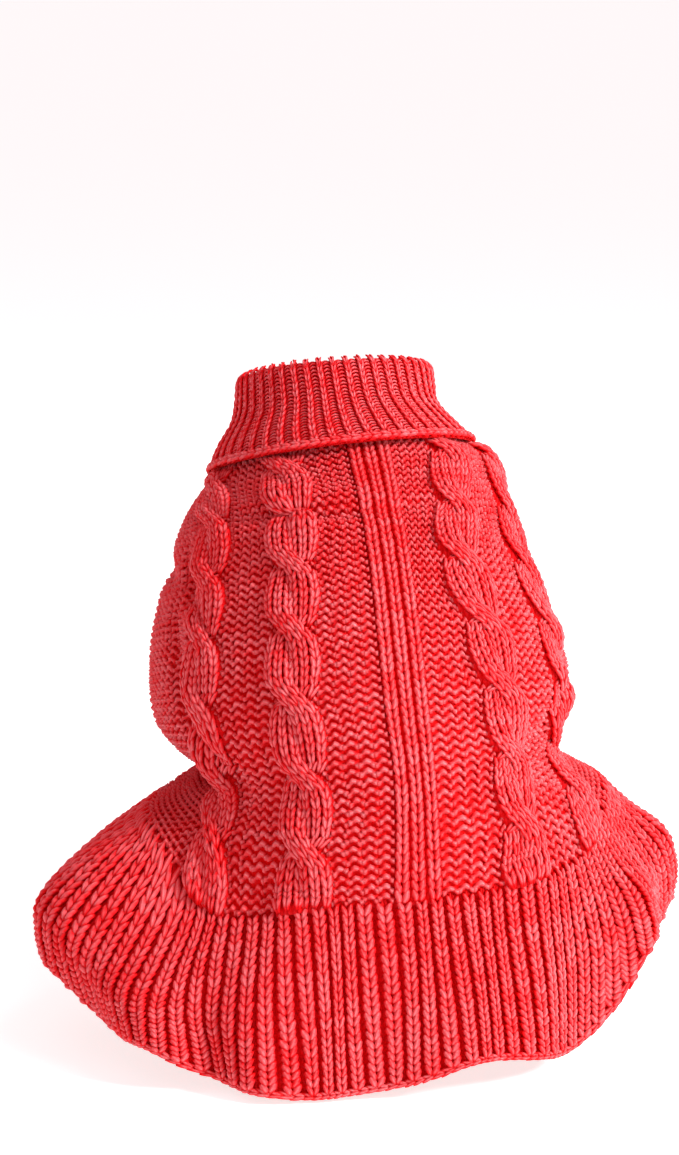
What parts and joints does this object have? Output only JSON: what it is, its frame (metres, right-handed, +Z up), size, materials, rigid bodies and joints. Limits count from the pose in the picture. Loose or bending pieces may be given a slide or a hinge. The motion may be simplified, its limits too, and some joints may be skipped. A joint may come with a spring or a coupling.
{
  "type": "dog sweater",
  "caption": "Cable-knit dog sweater in its worn form, with a folded ribbed turtleneck, ribbed armhole cuffs and a flared ribbed ruffle over the rump.",
  "frame": {"origin": "middle of the neck seam, inside the collar, where the wearer's neck holds the garment", "axes": "+Z up with the wearer sitting, +Y towards the wearer's chest, +X towards the wearer's right"},
  "size_m": [0.2469, 0.2581, 0.2486],
  "materials": {
    "back_panel_knit": "cable-knitted acrylic yarn, soft sheen",
    "belly_panel_knit": "plain-knitted acrylic yarn, soft sheen",
    "collar_knit": "rib-knitted acrylic yarn, soft sheen",
    "skirt_knit": "rib-knitted acrylic yarn, soft sheen",
    "cuff_left_knit": "rib-knitted acrylic yarn, soft sheen",
    "cuff_right_knit": "rib-knitted acrylic yarn, soft sheen"
  },
  "bodies": {
    "root": {"back_panel": "back_panel_knit", "belly_panel": "belly_panel_knit", "collar": "collar_knit", "skirt": "skirt_knit", "cuff_left": "cuff_left_knit", "cuff_right": "cuff_right_knit"}
  },
  "joints": []
}
